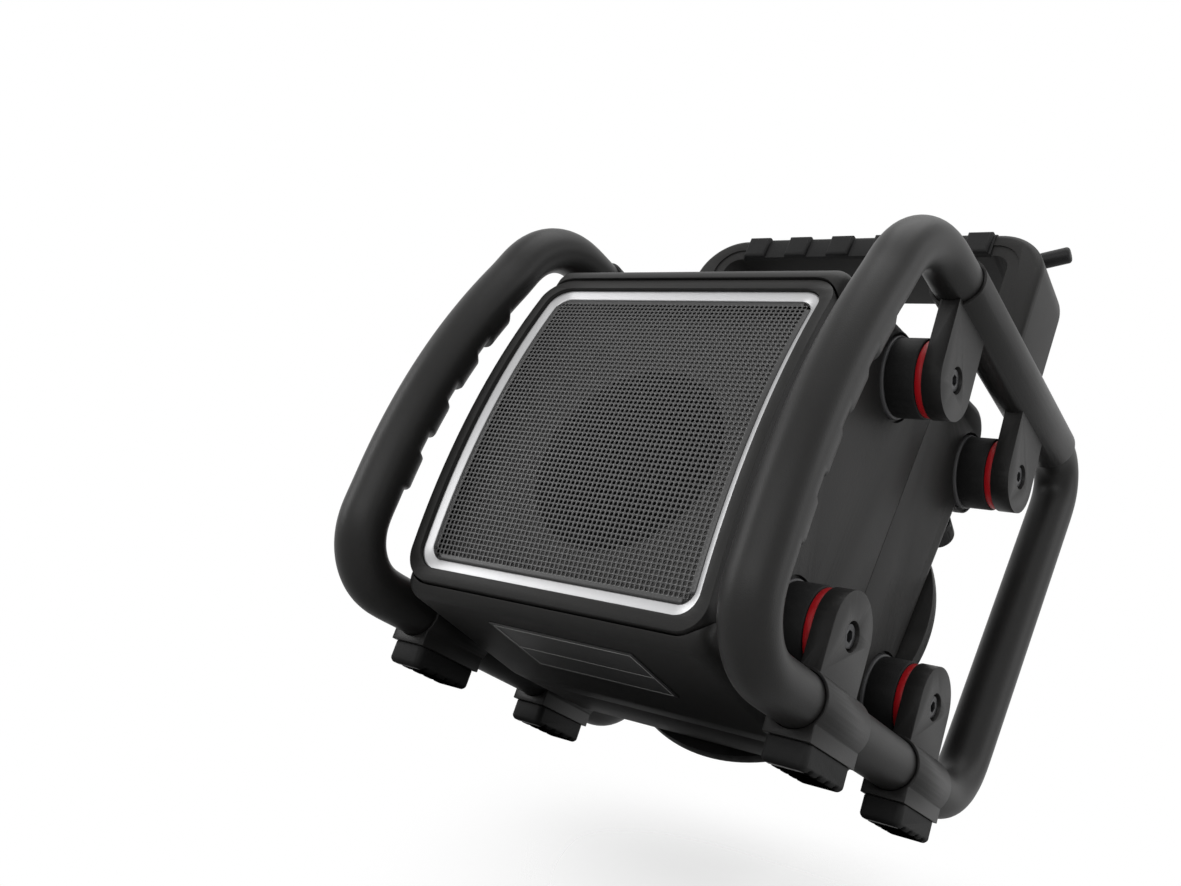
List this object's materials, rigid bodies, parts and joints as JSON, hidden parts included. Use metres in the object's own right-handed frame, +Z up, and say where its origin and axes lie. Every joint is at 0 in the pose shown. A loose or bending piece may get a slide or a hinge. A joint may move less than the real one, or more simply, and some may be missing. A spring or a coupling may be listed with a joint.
{
  "type": "jobsite radio",
  "caption": "Rugged portable radio in a rubber-mounted roll cage, with a front speaker grille, round control side, carry handle and telescopic antenna.",
  "frame": {"origin": "centre of the footprint on the floor, under the middle of the two cages", "axes": "X left to right across both cages, minus Y towards the square grille side, Z up"},
  "size_m": [0.296, 0.3996, 0.4417],
  "materials": {
    "tube_plastic": "fine grained charcoal plastic",
    "shell_plastic": "fine grained dark plastic",
    "dark_plastic": "black moulded plastic",
    "soft_rubber": "black rubber",
    "red_ring": "deep red moulded plastic",
    "grey_disc": "mid grey plastic",
    "silver_paint": "silver satin paint",
    "mesh_steel": "black lacquered sheet",
    "bolt_steel": "zinc plated steel",
    "black_steel": "blackened steel",
    "antenna_chrome": "polished chrome plate",
    "cone_paper": "black paper cone",
    "board_green": "lacquered circuit board",
    "display_glass": "clear window",
    "display_face": "grey green display face",
    "plate_foil": "blank satin foil plate",
    "cell_wrap": "dark cell sleeve"
  },
  "bodies": {
    "base": {"antenna_foot": "dark_plastic", "aux_socket": "dark_plastic", "battery_bay": "dark_plastic", "battery_cells": "cell_wrap", "bezel_frame": "shell_plastic", "cage_bolts": "black_steel", "carry_handle": "shell_plastic", "control_board": "board_green", "control_panel": "dark_plastic", "control_side_rim": "shell_plastic", "damper_rings": "red_ring", "display_module": "display_face", "display_window": "display_glass", "door_hinge_pin": "bolt_steel", "front_shell": "shell_plastic", "handle_grip": "soft_rubber", "housing_screws": "black_steel", "knob_encoders": "dark_plastic", "left_cage_tube": "tube_plastic", "left_feet": "soft_rubber", "left_front_lower_clamp": "tube_plastic", "left_rear_lower_clamp": "tube_plastic", "left_upper_clamp": "tube_plastic", "main_board": "board_green", "mesh_grille": "mesh_steel", "power_inlet": "dark_plastic", "radiator_frame": "soft_rubber", "rear_shell": "shell_plastic", "right_cage_tube": "tube_plastic", "right_feet": "soft_rubber", "right_front_lower_clamp": "tube_plastic", "right_rear_lower_clamp": "tube_plastic", "right_upper_clamp": "tube_plastic", "round_grille": "mesh_steel", "rubber_buffers": "soft_rubber", "seat_discs": "grey_disc", "silver_frame": "silver_paint", "speaker_baffle": "dark_plastic", "transformer": "bolt_steel", "type_plate": "plate_foil", "woofer_basket": "mesh_steel", "woofer_magnet": "bolt_steel", "woofer_surround": "soft_rubber"},
    "woofer_cone": {"woofer_cone": "cone_paper"},
    "radiator_plate": {"radiator_plate": "cone_paper"},
    "battery_door": {"battery_door": "shell_plastic"},
    "volume_knob": {"volume_knob": "dark_plastic"},
    "tuning_knob": {"tuning_knob": "dark_plastic"},
    "antenna_turret": {"antenna_turret": "dark_plastic"},
    "antenna_section_1": {"antenna_section_1": "antenna_chrome"},
    "antenna_section_2": {"antenna_section_2": "antenna_chrome"},
    "antenna_section_3": {"antenna_section_3": "antenna_chrome"},
    "antenna_section_4": {"antenna_section_4": "antenna_chrome", "antenna_tip": "dark_plastic"},
    "key_1": {"key_1": "soft_rubber"},
    "key_2": {"key_2": "soft_rubber"},
    "key_3": {"key_3": "soft_rubber"},
    "key_4": {"key_4": "soft_rubber"},
    "key_5": {"key_5": "soft_rubber"},
    "key_6": {"key_6": "soft_rubber"}
  },
  "joints": [
    {"name": "woofer_cone_slide", "type": "slide", "parent": "base", "child": "woofer_cone", "axis": [0, -0.9903, 0.1392], "range_m": [-0.0015, 0.0015], "stiffness_N_per_m": 1500},
    {"name": "radiator_slide", "type": "slide", "parent": "base", "child": "radiator_plate", "axis": [0, 0.9652, -0.2613], "range_m": [-0.0015, 0.0015], "stiffness_N_per_m": 1500},
    {"name": "battery_door_hinge", "type": "hinge", "parent": "base", "child": "battery_door", "pos_m": [-0.1038, 0.00089, 0.14], "axis": [0, 0, 1], "range_deg": [0, 95]},
    {"name": "volume_knob_turn", "type": "hinge", "parent": "base", "child": "volume_knob", "pos_m": [0.088, 0.08901, 0.20694], "axis": [0, 0.9652, -0.2613], "range_deg": [-150, 150]},
    {"name": "tuning_knob_turn", "type": "hinge", "parent": "base", "child": "tuning_knob", "pos_m": [-0.088, 0.08901, 0.20694], "axis": [0, 0.9652, -0.2613], "continuous": true},
    {"name": "key_1_press", "type": "slide", "parent": "base", "child": "key_1", "axis": [0, -0.9652, 0.2613], "range_m": [0, 0.0015], "stiffness_N_per_m": 300},
    {"name": "key_2_press", "type": "slide", "parent": "base", "child": "key_2", "axis": [0, -0.9652, 0.2613], "range_m": [0, 0.0015], "stiffness_N_per_m": 300},
    {"name": "key_3_press", "type": "slide", "parent": "base", "child": "key_3", "axis": [0, -0.9652, 0.2613], "range_m": [0, 0.0015], "stiffness_N_per_m": 300},
    {"name": "key_4_press", "type": "slide", "parent": "base", "child": "key_4", "axis": [0, -0.9652, 0.2613], "range_m": [0, 0.0015], "stiffness_N_per_m": 300},
    {"name": "key_5_press", "type": "slide", "parent": "base", "child": "key_5", "axis": [0, -0.9652, 0.2613], "range_m": [0, 0.0015], "stiffness_N_per_m": 300},
    {"name": "key_6_press", "type": "slide", "parent": "base", "child": "key_6", "axis": [0, -0.9652, 0.2613], "range_m": [0, 0.0015], "stiffness_N_per_m": 300},
    {"name": "antenna_turn", "type": "hinge", "parent": "base", "child": "antenna_turret", "pos_m": [-0.036, 0.10358, 0.38939], "axis": [0, 0.9925, -0.1219], "range_deg": [-157, 0]},
    {"name": "antenna_fold", "type": "hinge", "parent": "antenna_turret", "child": "antenna_section_1", "pos_m": [-0.036, 0.11648, 0.38781], "axis": [0.2924, -0.1165, -0.9492], "range_deg": [-90, 0]},
    {"name": "antenna_draw_1", "type": "slide", "parent": "antenna_section_1", "child": "antenna_section_2", "axis": [0.9563, 0.0356, 0.2902], "range_m": [0, 0.105]},
    {"name": "antenna_draw_2", "type": "slide", "parent": "antenna_section_2", "child": "antenna_section_3", "axis": [0.9563, 0.0356, 0.2902], "range_m": [0, 0.105]},
    {"name": "antenna_draw_3", "type": "slide", "parent": "antenna_section_3", "child": "antenna_section_4", "axis": [0.9563, 0.0356, 0.2902], "range_m": [0, 0.105]}
  ]
}
